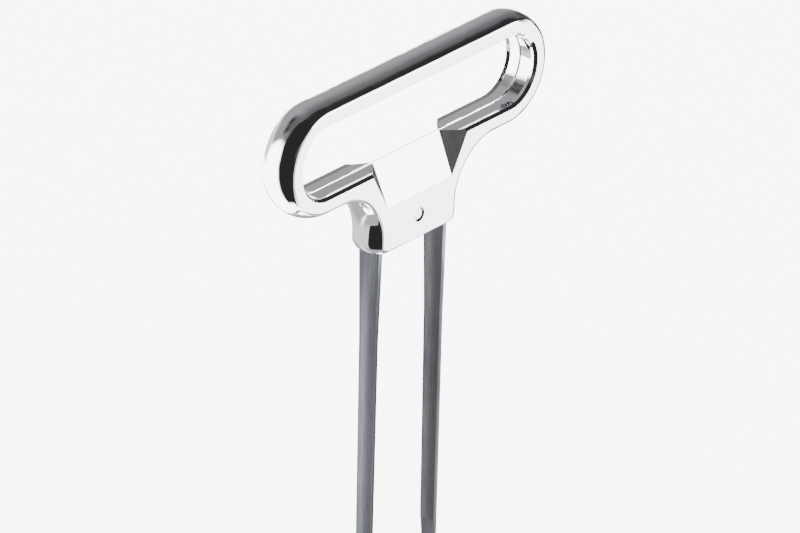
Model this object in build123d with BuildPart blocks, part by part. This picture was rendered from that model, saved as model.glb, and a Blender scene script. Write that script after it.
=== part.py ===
"""Two-prong cork puller: a cast loop handle with two spring-steel prongs rocking on one cross pin.

Frame: +Z up, X along the finger loop, Y through the handle's depth. The origin is on the long prong's tip plane,
under the middle of the handle. Lengths are in millimetres, angles in degrees.
"""
import os
from math import radians, sin, tan

from build123d import *

# --- Driving dimensions ----------------------------------------------------------------------------------
# Prongs: how far each reaches below the handle's block
long_reach = 86.0
short_reach = 76.0

# Finger loop: the opening is a slot, measured at the front and back faces
opening_length = 72.0
opening_height = 16.1
rim_width = 2.5
handle_depth = 8.0
crown_height = 1.5
crown_root = 1.4
face_edge_radius = 1.2
opening_bevel = 0.6
lip_width = 0.8
lip_drop = 0.2
opening_rise = 0.6
bead_radius = 0.2
loop_straight_min = 0.5

# Neck block under the loop: its width follows from the prongs' spread and the wall outside them
loop_centre_height = 25.9
block_end_wall = 1.5
block_corner = 1.8
block_side_length = 1.55
block_bottom_round = 0.35

# Slanted panel sunk in the front and back of the block, from the opening's ridge down to the face
panel_base_height = 9.8
panel_base_margin = 1.25
panel_top_widening = 0.3
panel_wall_flare = 29.7

# Cross pin, a rivet through the block
pin_diameter = 2.3
pin_height = 5.0
pin_recess = 0.3
pin_end_chamfer = 0.15
bore_mouth_chamfer = 0.35

# Spring-steel strip of the prongs, hollowed to the curve of a cork
prong_spread = 21.4
strip_thickness = 1.0
root_width = 5.1
waist_width = 4.0
waist_drop = 20.0
shoulder_width = 3.4
tip_length = 5.0
tip_thickness = 0.35
grind_length = 9.0
bend_outside_radius = 1.4
bend_inside_radius = 0.5
eye_gap = 0.8

# Clearances
eye_clearance = 0.05
eye_side_gap = 0.2
arm_step_clearance = 0.5
pocket_side_clearance = 0.25
pocket_end_clearance = 0.35
pocket_roof_clearance = 0.7

# --- Places worked out from them ---------------------------------------------------------------------------
block_base = long_reach
loop_centre = block_base + loop_centre_height
half_depth = handle_depth / 2
outer_radius = opening_height / 2 + rim_width
end_centre_x = (opening_length - opening_height) / 2
loop_top = loop_centre + outer_radius
loop_underside = loop_centre - outer_radius
blade_radius = prong_spread / 2
half_block = blade_radius + pocket_end_clearance + block_end_wall - crown_height
fillet_under_loop = loop_underside - block_base - block_corner - block_side_length
fillet_along_loop = end_centre_x - half_block - loop_straight_min
block_fillet = min(fillet_under_loop, fillet_along_loop)
pin_z = block_base + pin_height
pin_radius = pin_diameter / 2
eye_inner_radius = pin_radius + eye_clearance
eye_outer_radius = eye_inner_radius + strip_thickness
arm_top = pin_z + eye_outer_radius
pocket_roof = arm_top + pocket_roof_clearance
ridge_bottom = loop_centre - opening_height / 2 + opening_rise
panel_base = block_base + panel_base_height
panel_base_half = half_block - panel_base_margin
panel_top_half = panel_base_half + panel_top_widening
panel_flare = tan(radians(panel_wall_flare))
eye_width = (root_width - eye_side_gap) / 2
arm_step_x = eye_outer_radius + arm_step_clearance


# --- Handle -------------------------------------------------------------------------------------------------
def handle_outline(inset):
    """The loop's outline, running down through two concave fillets into the block, drawn in by inset."""
    with BuildSketch(Plane.XZ) as outline:
        with BuildLine():
            Line((0, loop_top), (end_centre_x, loop_top))
            CenterArc((end_centre_x, loop_centre), outer_radius, 90, -180)
            Line((end_centre_x, loop_underside), (half_block + block_fillet, loop_underside))
            CenterArc((half_block + block_fillet, loop_underside - block_fillet), block_fillet, 90, 90)
            Line((half_block, loop_underside - block_fillet), (half_block, block_base + block_corner))
            CenterArc((half_block - block_corner, block_base + block_corner), block_corner, 0, -90)
            Line((half_block - block_corner, block_base), (0, block_base))
            mirror(about=Plane.YZ)
        make_face()
        if inset:
            offset(amount=-inset, mode=Mode.REPLACE)
    return outline.sketch


def opening_section(distance, inset):
    """The finger opening's slot, drawn in by inset, on the plane this far in front of mid-depth."""
    with BuildSketch(Plane.XZ.offset(distance)) as section:
        with Locations((0, loop_centre)):
            SlotOverall(opening_length - 2 * inset, opening_height - 2 * inset)
    return section.sketch


def panel_section(distance, bottom, bottom_half):
    """The panel's flaring trapezium, up to the loop's centre, on the plane this far in front of mid-depth."""
    top_half = bottom_half + panel_flare * (loop_centre - bottom)
    with BuildSketch(Plane.XZ.offset(distance)) as section:
        with BuildLine():
            Polyline(
                (-bottom_half, bottom),
                (bottom_half, bottom),
                (top_half, loop_centre),
                (-top_half, loop_centre),
                close=True,
            )
        make_face()
    return section.sketch


with BuildPart() as handle:
    # Flat-faced core, inside the rounded edge
    extrude(handle_outline(face_edge_radius), amount=half_depth, both=True)

    # Crowned band that runs round the outline, rounded where it meets the two faces
    with BuildSketch(Plane.YZ) as crown_section:
        with BuildLine():
            Polyline(
                (half_depth, loop_top),
                (half_depth, loop_top - crown_root),
                (-half_depth, loop_top - crown_root),
                (-half_depth, loop_top),
            )
            ThreePointArc((-half_depth, loop_top), (0, loop_top + crown_height), (half_depth, loop_top))
        make_face()
        fillet(crown_section.vertices().group_by(Axis.Y)[-1], face_edge_radius)
    sweep(path=handle_outline(0).face().outer_wire())

    # The block's underside is cut flat
    with BuildSketch(Plane.XY.offset(block_base)):
        Rectangle(opening_length, 2 * handle_depth)
    extrude(amount=-2 * crown_height, mode=Mode.SUBTRACT)

    # Finger opening: from each face a bevel, a low lip, then a slope that rises to a thin bead at mid-depth
    bead_step = bead_radius * sin(radians(45))
    opening_steps = (
        (0, opening_rise + bead_radius),
        (bead_step, opening_rise + bead_step),
        (bead_radius, opening_rise),
        (half_depth - opening_bevel - lip_width, opening_bevel - lip_drop),
        (half_depth - opening_bevel, opening_bevel),
        (half_depth, 0),
    )
    extrude(opening_section(0, opening_rise + bead_radius), amount=handle_depth, both=True, mode=Mode.SUBTRACT)
    for side in (1, -1):
        for (near, near_inset), (far, far_inset) in zip(opening_steps, opening_steps[1:]):
            loft(
                [opening_section(side * near, near_inset), opening_section(side * far, far_inset)],
                mode=Mode.SUBTRACT,
            )

        # Slanted panel between two flaring side walls
        panel_back = panel_section(side * bead_radius, ridge_bottom, panel_top_half)
        panel_mouth = panel_section(side * half_depth, panel_base, panel_base_half)
        loft([panel_back, panel_mouth], ruled=True, mode=Mode.SUBTRACT)

    # Soft edge round the underside
    underside = handle.faces().sort_by(Axis.Z)[0]
    fillet(underside.edges(), block_bottom_round)

    # Pocket for the prongs' roots, open downwards, with ends concentric with the cork
    with BuildSketch(Plane.XY.offset(block_base)):
        Circle(blade_radius + pocket_end_clearance)
        Rectangle(
            2 * prong_spread,
            root_width + 2 * pocket_side_clearance,
            mode=Mode.INTERSECT,
        )
    extrude(amount=pocket_roof - block_base, mode=Mode.SUBTRACT)

    # Bore for the cross pin, with a small countersink on each face
    for side in (1, -1):
        with Locations(Plane(origin=(0, side * half_depth, pin_z), z_dir=(0, side, 0))):
            CounterSinkHole(pin_radius, pin_radius + bore_mouth_chamfer, counter_sink_angle=90)

handle.part.label = "handle"


# --- Cross pin ----------------------------------------------------------------------------------------------
with BuildPart() as cross_pin:
    with BuildSketch(Plane.XZ):
        with Locations((0, pin_z)):
            Circle(pin_radius)
    extrude(amount=half_depth - pin_recess, both=True)
    chamfer(cross_pin.edges().filter_by(GeomType.CIRCLE), pin_end_chamfer)

cross_pin.part.label = "cross_pin"


# --- Prongs -------------------------------------------------------------------------------------------------
def build_prong(reach):
    """A prong on the -X side: blade, bend, arm and the eye round the pin, in the front half of the pocket."""
    tip_z = block_base - reach
    with BuildPart() as prong:
        # Curved strip, concentric with the cork, cut to the blade's outline
        with BuildSketch(Plane.XY.offset(tip_z)):
            Circle(blade_radius)
            Circle(blade_radius - strip_thickness, mode=Mode.SUBTRACT)
            with Locations((-blade_radius, 0)):
                Rectangle(blade_radius, root_width, mode=Mode.INTERSECT)
        extrude(amount=arm_top - tip_z)
        with BuildSketch(Plane.YZ):
            with BuildLine():
                Line((0, arm_top), (root_width / 2, arm_top))
                Polyline(
                    (root_width / 2, arm_top),
                    (root_width / 2, block_base),
                    (waist_width / 2, block_base - waist_drop),
                    (shoulder_width / 2, tip_z + tip_length),
                )
                EllipticalCenterArc((0, tip_z + tip_length), shoulder_width / 2, tip_length, start_angle=270)
                mirror(about=Plane.YZ)
            make_face()
        extrude(amount=-2 * blade_radius, mode=Mode.INTERSECT)

        # Inside face ground thin towards the tip
        with BuildSketch(Plane.XZ):
            with BuildLine():
                Polyline(
                    (-blade_radius + tip_thickness, tip_z),
                    (-blade_radius + strip_thickness, tip_z + grind_length),
                    (0, tip_z + grind_length),
                    (0, tip_z),
                    close=True,
                )
            make_face()
        extrude(amount=root_width, both=True, mode=Mode.SUBTRACT)

        # Arm, full width beside the blade and half width past the other prong's eye
        with BuildSketch(Plane.XY.offset(arm_top)):
            Circle(blade_radius)
            with Locations((-blade_radius, 0)):
                Rectangle(blade_radius - arm_step_x, root_width, align=(Align.MIN, Align.CENTER),
                          mode=Mode.INTERSECT)
            with Locations((-arm_step_x, -root_width / 2)):
                Rectangle(arm_step_x, eye_width, align=(Align.MIN, Align.MIN))
        extrude(amount=-strip_thickness)
        bends = prong.edges().filter_by(GeomType.CIRCLE)
        outside_bend = bends.filter_by_position(Axis.Z, arm_top, arm_top).sort_by(Axis.X)[0]
        fillet(outside_bend, bend_outside_radius)
        arm_bottom = arm_top - strip_thickness
        bends = prong.edges().filter_by(GeomType.CIRCLE)
        inside_bend = bends.filter_by_position(Axis.Z, arm_bottom, arm_bottom).sort_by(Axis.X)[0]
        fillet(inside_bend, bend_inside_radius)

        # Eye rolled round the pin, with the gap where the roll ends under the arm
        with BuildSketch(Plane.XZ.offset(root_width / 2)):
            with Locations((0, pin_z)):
                Circle(eye_outer_radius)
        extrude(amount=-eye_width)
        with BuildSketch(Plane.XZ.offset(root_width / 2)):
            with Locations((0, pin_z)):
                Circle(eye_inner_radius)
            with BuildLine():
                Polyline(
                    (0, pin_z),
                    (-2 * eye_outer_radius, arm_top - strip_thickness),
                    (-2 * eye_outer_radius, arm_top - strip_thickness - eye_gap),
                    close=True,
                )
            make_face()
        extrude(amount=-eye_width, mode=Mode.SUBTRACT)
    return prong


long_prong = build_prong(long_reach).part
long_prong.label = "long_prong"

short_prong = build_prong(short_reach).part.rotate(Axis.Z, 180)
short_prong.label = "short_prong"


# --- Files --------------------------------------------------------------------------------------------------
os.makedirs("parts", exist_ok=True)
export_step(handle.part, "parts/handle.step")
export_step(cross_pin.part, "parts/cross_pin.step")
export_step(long_prong, "parts/long_prong.step")
export_step(short_prong, "parts/short_prong.step")
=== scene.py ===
"""Looks of the two-prong cork puller: chromed loop handle, satin spring-steel prongs and a plated rivet."""
import math

import bpy
import numpy as np
from mathutils import Matrix, Vector


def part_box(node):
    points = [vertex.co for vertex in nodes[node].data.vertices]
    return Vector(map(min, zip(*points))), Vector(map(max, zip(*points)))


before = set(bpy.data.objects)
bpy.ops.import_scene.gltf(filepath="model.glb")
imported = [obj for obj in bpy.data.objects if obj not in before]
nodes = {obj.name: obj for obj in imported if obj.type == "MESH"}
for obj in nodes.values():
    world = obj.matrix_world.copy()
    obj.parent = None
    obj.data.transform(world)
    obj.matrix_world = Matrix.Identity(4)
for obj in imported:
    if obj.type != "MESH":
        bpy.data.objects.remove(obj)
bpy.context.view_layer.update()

MM = 0.001


# --- Camera -----------------------------------------------------------------------------------------
def place_camera():
    """A long lens looking down on the handle from its left front. back is the unit vector from the
    target to the camera: (sin a cos e, -cos a cos e, sin e) for azimuth a and elevation e."""
    azimuth, elevation, roll = math.radians(-51.1), math.radians(25.889), math.radians(-1.299)
    distance, lens = 1.7455, 401.5
    target = Vector((-0.00072, 0.0, 0.07868))
    back = Vector((math.sin(azimuth) * math.cos(elevation), -math.cos(azimuth) * math.cos(elevation),
                   math.sin(elevation)))
    right = Vector((math.cos(azimuth), math.sin(azimuth), 0.0))
    up = back.cross(right)
    c, s = math.cos(roll), math.sin(roll)
    x_axis = c * right - s * up
    y_axis = s * right + c * up
    camera = bpy.data.objects.new("camera", bpy.data.cameras.new("camera"))
    camera.data.sensor_width = 36.0
    camera.data.lens = lens
    camera.data.clip_end = 10.0
    camera.matrix_world = Matrix((
        (x_axis.x, y_axis.x, back.x, target.x + distance * back.x),
        (x_axis.y, y_axis.y, back.y, target.y + distance * back.y),
        (x_axis.z, y_axis.z, back.z, target.z + distance * back.z),
        (0, 0, 0, 1),
    ))
    bpy.context.scene.collection.objects.link(camera)
    bpy.context.scene.camera = camera


# --- Materials --------------------------------------------------------------------------------------
MIX_FIRST_COLOUR = 6       # the colour sockets of a Mix node set to RGBA
MIX_SECOND_COLOUR = 7
MIX_RESULT_COLOUR = 2


class Finish:
    """A Principled material being put together, with short ways to add the nodes of its pattern."""

    def __init__(self, name, colour, metallic, roughness):
        self.material = bpy.data.materials.new(name)
        self.material.use_nodes = True
        self.tree = self.material.node_tree
        self.shader = self.tree.nodes["Principled BSDF"]
        self.shader.inputs["Base Color"].default_value = (*colour, 1.0)
        self.shader.inputs["Metallic"].default_value = metallic
        self.shader.inputs["Roughness"].default_value = roughness
        self.place = self.tree.nodes.new("ShaderNodeTexCoord").outputs["Object"]

    def link(self, source, target):
        """Joins an output socket to an input socket."""
        self.tree.links.new(source, target)

    def noise(self, scale, detail, stretch=(1.0, 1.0, 1.0)):
        """Cloudy noise on object coordinates, scale patches a metre, drawn out by stretch."""
        mapping = self.tree.nodes.new("ShaderNodeMapping")
        mapping.inputs["Scale"].default_value = stretch
        texture = self.tree.nodes.new("ShaderNodeTexNoise")
        texture.inputs["Scale"].default_value = scale
        texture.inputs["Detail"].default_value = detail
        self.link(self.place, mapping.inputs["Vector"])
        self.link(mapping.outputs["Vector"], texture.inputs["Vector"])
        return texture.outputs["Fac"]

    def ramp(self, source, stops):
        """Maps a value to a colour through (position, grey level or colour) stops."""
        ramp = self.tree.nodes.new("ShaderNodeValToRGB")
        elements = ramp.color_ramp.elements
        while len(elements) < len(stops):
            elements.new(0.5)
        for element, (position, colour) in zip(elements, stops):
            element.position = position
            level = colour if isinstance(colour, tuple) else (colour, colour, colour)
            element.color = (*level, 1.0)
        self.link(source, ramp.inputs["Fac"])
        return ramp.outputs["Color"]

    def math(self, operation, first, second):
        """Works out one operation on two values, each a number or an output socket."""
        node = self.tree.nodes.new("ShaderNodeMath")
        node.operation = operation
        for socket, value in zip(node.inputs, (first, second)):
            if isinstance(value, (int, float)):
                socket.default_value = value
            else:
                self.link(value, socket)
        return node.outputs["Value"]

    def bump(self, height, distance, strength):
        """Tilts the surface by a height pattern, distance metres deep at full strength."""
        node = self.tree.nodes.new("ShaderNodeBump")
        node.inputs["Distance"].default_value = distance
        node.inputs["Strength"].default_value = strength
        self.link(height, node.inputs["Height"])
        self.link(node.outputs["Normal"], self.shader.inputs["Normal"])


def chrome():
    """Bright chromium plate over a polished casting: nearly a mirror, with a faint waviness left by
    the polishing wheel, a little haze in patches, and the cold tint of chromium."""
    finish = Finish("bright_chrome", (0.88, 0.89, 0.915), 1.0, 0.04)
    waves_a_metre = 190.0
    haze = finish.noise(waves_a_metre, 4.0)
    finish.link(finish.ramp(haze, ((0.35, 0.03), (0.75, 0.085))), finish.shader.inputs["Roughness"])
    tint = finish.noise(60.0, 2.0)
    finish.link(finish.ramp(tint, ((0.3, (0.87, 0.88, 0.91)), (0.7, (0.90, 0.905, 0.92)))),
                finish.shader.inputs["Base Color"])
    finish.bump(finish.noise(waves_a_metre, 1.5), 0.3 * MM, 0.5)
    return finish.material


def rivet_plate():
    """The rivet: the same plate over steel, duller, with a fine mottled grain that is drawn out along
    the rivet's length."""
    finish = Finish("plated_rivet", (0.82, 0.83, 0.85), 1.0, 0.12)
    grain = finish.noise(2500.0, 3.0, (1.0, 0.2, 1.0))
    finish.link(finish.ramp(grain, ((0.3, 0.08), (0.7, 0.2))), finish.shader.inputs["Roughness"])
    finish.bump(grain, 0.01 * MM, 0.4)
    return finish.material


def satin_steel(strip_middle):
    """Spring steel with a satin finish: grain drawn out along the blade, cloudy grey patches where the
    strip was tempered and handled,
    and painted shade on the hollow side: a darker copy of the colour that stands in for the dark
    surroundings those faces mirror.
    The colour is darker where the distance from the upright axis, the root of x squared plus y squared, is
    under strip_middle."""
    finish = Finish("satin_spring_steel", (0.2, 0.2, 0.22), 1.0, 0.3)
    grain = finish.noise(5200.0, 3.0, (1.0, 1.0, 0.03))
    cloud = finish.noise(90.0, 5.0, (1.0, 1.0, 0.35))
    grain_share, cloud_share = 0.45, 0.55
    shade = finish.math("ADD", finish.math("MULTIPLY", grain, grain_share),
                        finish.math("MULTIPLY", cloud, cloud_share))
    bright = finish.ramp(shade, ((0.36, (0.12, 0.123, 0.138)), (0.62, (0.235, 0.238, 0.26))))
    # Painted shade: a darker copy of the steel's colour for the hollow inner faces, in place of the dark
    # surroundings they mirror
    painted_shade_colour = finish.ramp(shade, ((0.36, (0.08, 0.081, 0.088)), (0.62, (0.15, 0.152, 0.162))))
    axes = finish.tree.nodes.new("ShaderNodeSeparateXYZ")
    finish.link(finish.place, axes.inputs["Vector"])
    squares = [finish.math("MULTIPLY", axes.outputs[axis], axes.outputs[axis])
               for axis in ("X", "Y")]
    reach = finish.math("SQRT", finish.math("ADD", *squares), 0.0)
    # Painted shade mask: the darker copy goes on the hollow side, where the distance from the axis is under
    # strip_middle
    outside = finish.math("GREATER_THAN", reach, strip_middle)
    blend = finish.tree.nodes.new("ShaderNodeMix")
    blend.data_type = "RGBA"
    finish.link(outside, blend.inputs["Factor"])
    finish.link(painted_shade_colour, blend.inputs[MIX_FIRST_COLOUR])
    finish.link(bright, blend.inputs[MIX_SECOND_COLOUR])
    finish.link(blend.outputs[MIX_RESULT_COLOUR], finish.shader.inputs["Base Color"])
    finish.link(finish.ramp(shade, ((0.35, 0.36), (0.65, 0.25))), finish.shader.inputs["Roughness"])
    finish.bump(grain, 0.01 * MM, 0.5)
    return finish.material


def set_material(thing, material):
    thing.data.materials.clear()
    thing.data.materials.append(material)


# --- Stage ------------------------------------------------------------------------------------------
LIGHT = 9.0                # brightness of the white room, well above 1 so that it shows as clean white
GLOW_TINT = (0.965, 0.98, 1.0, 1.0)
ROOM_RADIUS = 1.2
ROOM_HEIGHT = 0.11         # the room's middle is at the handle

# Round patches of the room: direction of the middle, radius, softness and brightness
LAMP_HOUSINGS = (
    ((-0.28, 0.38, 0.88), 0.30, 0.34, 0.16),
    ((-0.15, 0.54, 0.83), 0.13, 0.18, 0.06),
    ((-0.42, 0.52, 0.74), 0.13, 0.18, 0.07),
)
RIGHT_GAPS = (
    ((0.92, 0.02, -0.41), 0.46, 0.18, 0.05),
    ((0.98, 0.12, 0.10), 0.28, 0.16, 0.10),
    ((0.87, -0.50, 0.04), 0.13, 0.12, 0.15),
)


def glossy_only(thing):
    """Reflections see the thing, but neither the camera nor the light that falls on the floor does."""
    thing.visible_camera = False
    thing.visible_diffuse = False
    thing.visible_shadow = False
    thing.visible_transmission = False


def smooth_step(low, high, value):
    """0 below low, 1 above high, and 3 t^2 - 2 t^3 between them."""
    t = np.clip((value - low) / (high - low), 0.0, 1.0)
    return t * t * (3.0 - 2.0 * t)


def spot(x, y, z, centre, radius, softness):
    """1 inside a round patch of the room about centre, falling to 0 over softness. radius and softness
    are straight distances between points of the unit sphere."""
    centre = np.array(centre) / np.linalg.norm(centre)
    away = np.sqrt((x - centre[0]) ** 2 + (y - centre[1]) ** 2 + (z - centre[2]) ** 2)
    return 1.0 - smooth_step(radius - softness / 2, radius + softness / 2, away)


def mix(level, other, amount):
    """level where amount is 0, other where it is 1, and their weighted mean between."""
    return level * (1.0 - amount) + other * amount


def room_brightness(x, y, z):
    """How bright the room is in direction (x, y, z), for whole arrays of unit vectors. It is a white
    tent with a white floor, a grey ceiling that darkens towards the front, and dark things round the
    camera. Each of them is mixed over what stands before it, by a soft mask."""
    level = np.full_like(z, LIGHT)

    # The tent's front wall is a little less bright low down, which tints the faces that look at it
    low_front = (1.0 - smooth_step(-0.30, -0.05, y)) * (1.0 - smooth_step(-0.25, 0.05, z))
    level = mix(level, 0.65 * LIGHT, low_front)

    # Grey ceiling: its edge is low in the middle and behind on the right, higher in front on the right,
    # and highest on the left
    edge_height, edge_softness = 0.09, 0.15
    left_rise, right_front_rise = 0.42, 0.24
    left = smooth_step(0.30, 0.70, -x)
    right_front = smooth_step(0.0, 0.45, x) * (1.0 - smooth_step(-0.60, -0.42, y))
    edge = edge_height + left_rise * left * (1.0 - right_front) + right_front_rise * right_front
    upper = smooth_step(edge - edge_softness, edge + edge_softness, z)
    ceiling_middle, ceiling_gain, ceiling_front = 0.17, 0.30, 0.035
    ceiling = ceiling_middle + ceiling_gain * smooth_step(0.10, 0.62, y)
    ceiling = mix(ceiling, ceiling_front, 1.0 - smooth_step(-0.10, 0.10, y))
    level = mix(level, ceiling, upper)
    for centre, radius, softness, brightness in LAMP_HOUSINGS:
        level = mix(level, brightness, spot(x, y, z, centre, radius, softness))

    # Gaps in the tent on the right, with a grey edge behind them, low down
    far_edge = spot(x, y, z, (0.58, 0.68, -0.45), 0.30, 0.20) * (1.0 - smooth_step(-0.42, -0.32, z))
    level = mix(level, 1.2, far_edge)
    for centre, radius, softness, brightness in RIGHT_GAPS:
        level = mix(level, brightness, spot(x, y, z, centre, radius, softness))

    # A grey curtain in front of the handle and a grey patch behind it, which its flat faces mirror
    turn = np.degrees(np.arctan2(y, x)) % 360.0
    curtain = smooth_step(250.0, 262.0, turn) * (1.0 - smooth_step(288.0, 302.0, turn))
    curtain = curtain * smooth_step(-0.90, -0.60, z) * (1.0 - smooth_step(0.15, 0.30, z))
    level = mix(level, 1.3, curtain)
    level = mix(level, 1.5, spot(x, y, z, (0.0, 1.0, 0.0), 0.30, 0.20))

    # The camera's side of the tent is open and dark, with a paler wall far behind it
    open_side = smooth_step(159.0, 169.0, turn) * (1.0 - smooth_step(258.0, 270.0, turn))
    darkest, wall_gain = 0.03, 0.10
    dark = darkest + wall_gain * spot(x, y, z, (-0.50, -0.83, 0.24), 0.16, 0.30)
    return mix(level, dark, open_side * smooth_step(-0.985, -0.93, z))


def glow_mesh(name, points, level, columns):
    """A grid of points, columns to a row, whose material glows with the level of each point. The first
    and last points of a row lie on each other, so that the rows are closed rings."""
    index = np.arange(len(points)).reshape(-1, columns)
    quads = np.stack((index[:-1, :-1], index[1:, :-1], index[1:, 1:], index[:-1, 1:]), -1).reshape(-1, 4)
    mesh = bpy.data.meshes.new(name)
    mesh.from_pydata(points.tolist(), [], quads.tolist())
    glow = mesh.attributes.new("glow", "FLOAT", "POINT")
    glow.data.foreach_set("value", level.astype(np.float32))
    thing = bpy.data.objects.new(name, mesh)
    bpy.context.scene.collection.objects.link(thing)
    material = bpy.data.materials.new(name + "_glow")
    material.use_nodes = True
    tree = material.node_tree
    tree.nodes.clear()
    output = tree.nodes.new("ShaderNodeOutputMaterial")
    emission = tree.nodes.new("ShaderNodeEmission")
    attribute = tree.nodes.new("ShaderNodeAttribute")
    attribute.attribute_name = "glow"
    emission.inputs["Color"].default_value = GLOW_TINT
    tree.links.new(attribute.outputs["Fac"], emission.inputs["Strength"])
    tree.links.new(emission.outputs["Emission"], output.inputs["Surface"])
    mesh.materials.append(material)
    glossy_only(thing)


def build_room():
    """A sphere round the handle that only reflections see. For turn t and rise r its direction is
    (cos r cos t, cos r sin t, sin r), and its glow is room_brightness of that direction."""
    rows, columns = 361, 721
    rise = np.linspace(-np.pi / 2, np.pi / 2, rows)[:, None]
    turn = np.linspace(-np.pi, np.pi, columns)[None, :]
    x = np.cos(rise) * np.cos(turn)
    y = np.cos(rise) * np.sin(turn)
    z = np.sin(rise) * np.ones_like(turn)
    points = np.stack((x, y, z), -1).reshape(-1, 3)
    level = room_brightness(points[:, 0], points[:, 1], points[:, 2])
    glow_mesh("room", points * ROOM_RADIUS + (0, 0, ROOM_HEIGHT), level, columns)


def build_flags():
    """A grey collar round the blades that only reflections see, so that they don't turn as white as the
    room. It is a tube of one radius, from a skirt below the tips to a rim that stands higher behind on
    the left. Its glow has a bright slit on each side, which fades out towards the rim and lays a soft
    streak along each blade."""
    rows, columns = 40, 361
    radius, skirt = 0.030, 0.02
    rim_height, rim_rise, rim_turn = 0.066, 0.022, 117.0
    grey, rim_gain, slit_gain, slit_turn = 0.65, 0.75, 2.6, 34.0
    turn = np.linspace(-np.pi, np.pi, columns)[None, :]
    rim = rim_height + rim_rise * smooth_step(0.50, 0.58, np.cos(turn - np.radians(rim_turn)))
    height = np.linspace(0.0, 1.0, rows)[:, None] * (rim + skirt) - skirt
    x = radius * np.cos(turn) * np.ones_like(height)
    y = radius * np.sin(turn) * np.ones_like(height)
    points = np.stack((x, y, height), -1).reshape(-1, 3)
    across = np.abs(np.sin(turn + np.radians(slit_turn)))
    slit = (1.0 - smooth_step(0.02, 0.20, across)) * (1.0 - smooth_step(0.060, 0.076, height))
    above = smooth_step(0.062, 0.078, height)
    level = grey + rim_gain * above + slit_gain * slit
    glow_mesh("flags", points, level.reshape(-1), columns)


def build_stage():
    """A white floor just under the tips, a white world, and what only reflections see."""
    bpy.ops.mesh.primitive_plane_add(size=8.0, location=(0, 0, -1.0 * MM))
    floor = bpy.context.object
    floor.name = "floor"
    finish = Finish("pale_floor", (0.93, 0.93, 0.93), 0.0, 0.9)
    finish.shader.inputs["Specular IOR Level"].default_value = 0.0
    set_material(floor, finish.material)
    floor.visible_glossy = False
    world = bpy.context.scene.world or bpy.data.worlds.new("studio")
    bpy.context.scene.world = world
    world.use_nodes = True
    background = world.node_tree.nodes["Background"]
    background.inputs["Color"].default_value = (1, 1, 1, 1)
    background.inputs["Strength"].default_value = LIGHT
    build_room()
    build_flags()


place_camera()
build_stage()
set_material(nodes["handle"], chrome())
set_material(nodes["cross_pin"], rivet_plate())
strip_thickness = 1.0 * MM
blade_radius = -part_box("long_prong")[0][0]
steel = satin_steel(blade_radius - strip_thickness / 2)
for name in ("long_prong", "short_prong"):
    set_material(nodes[name], steel)
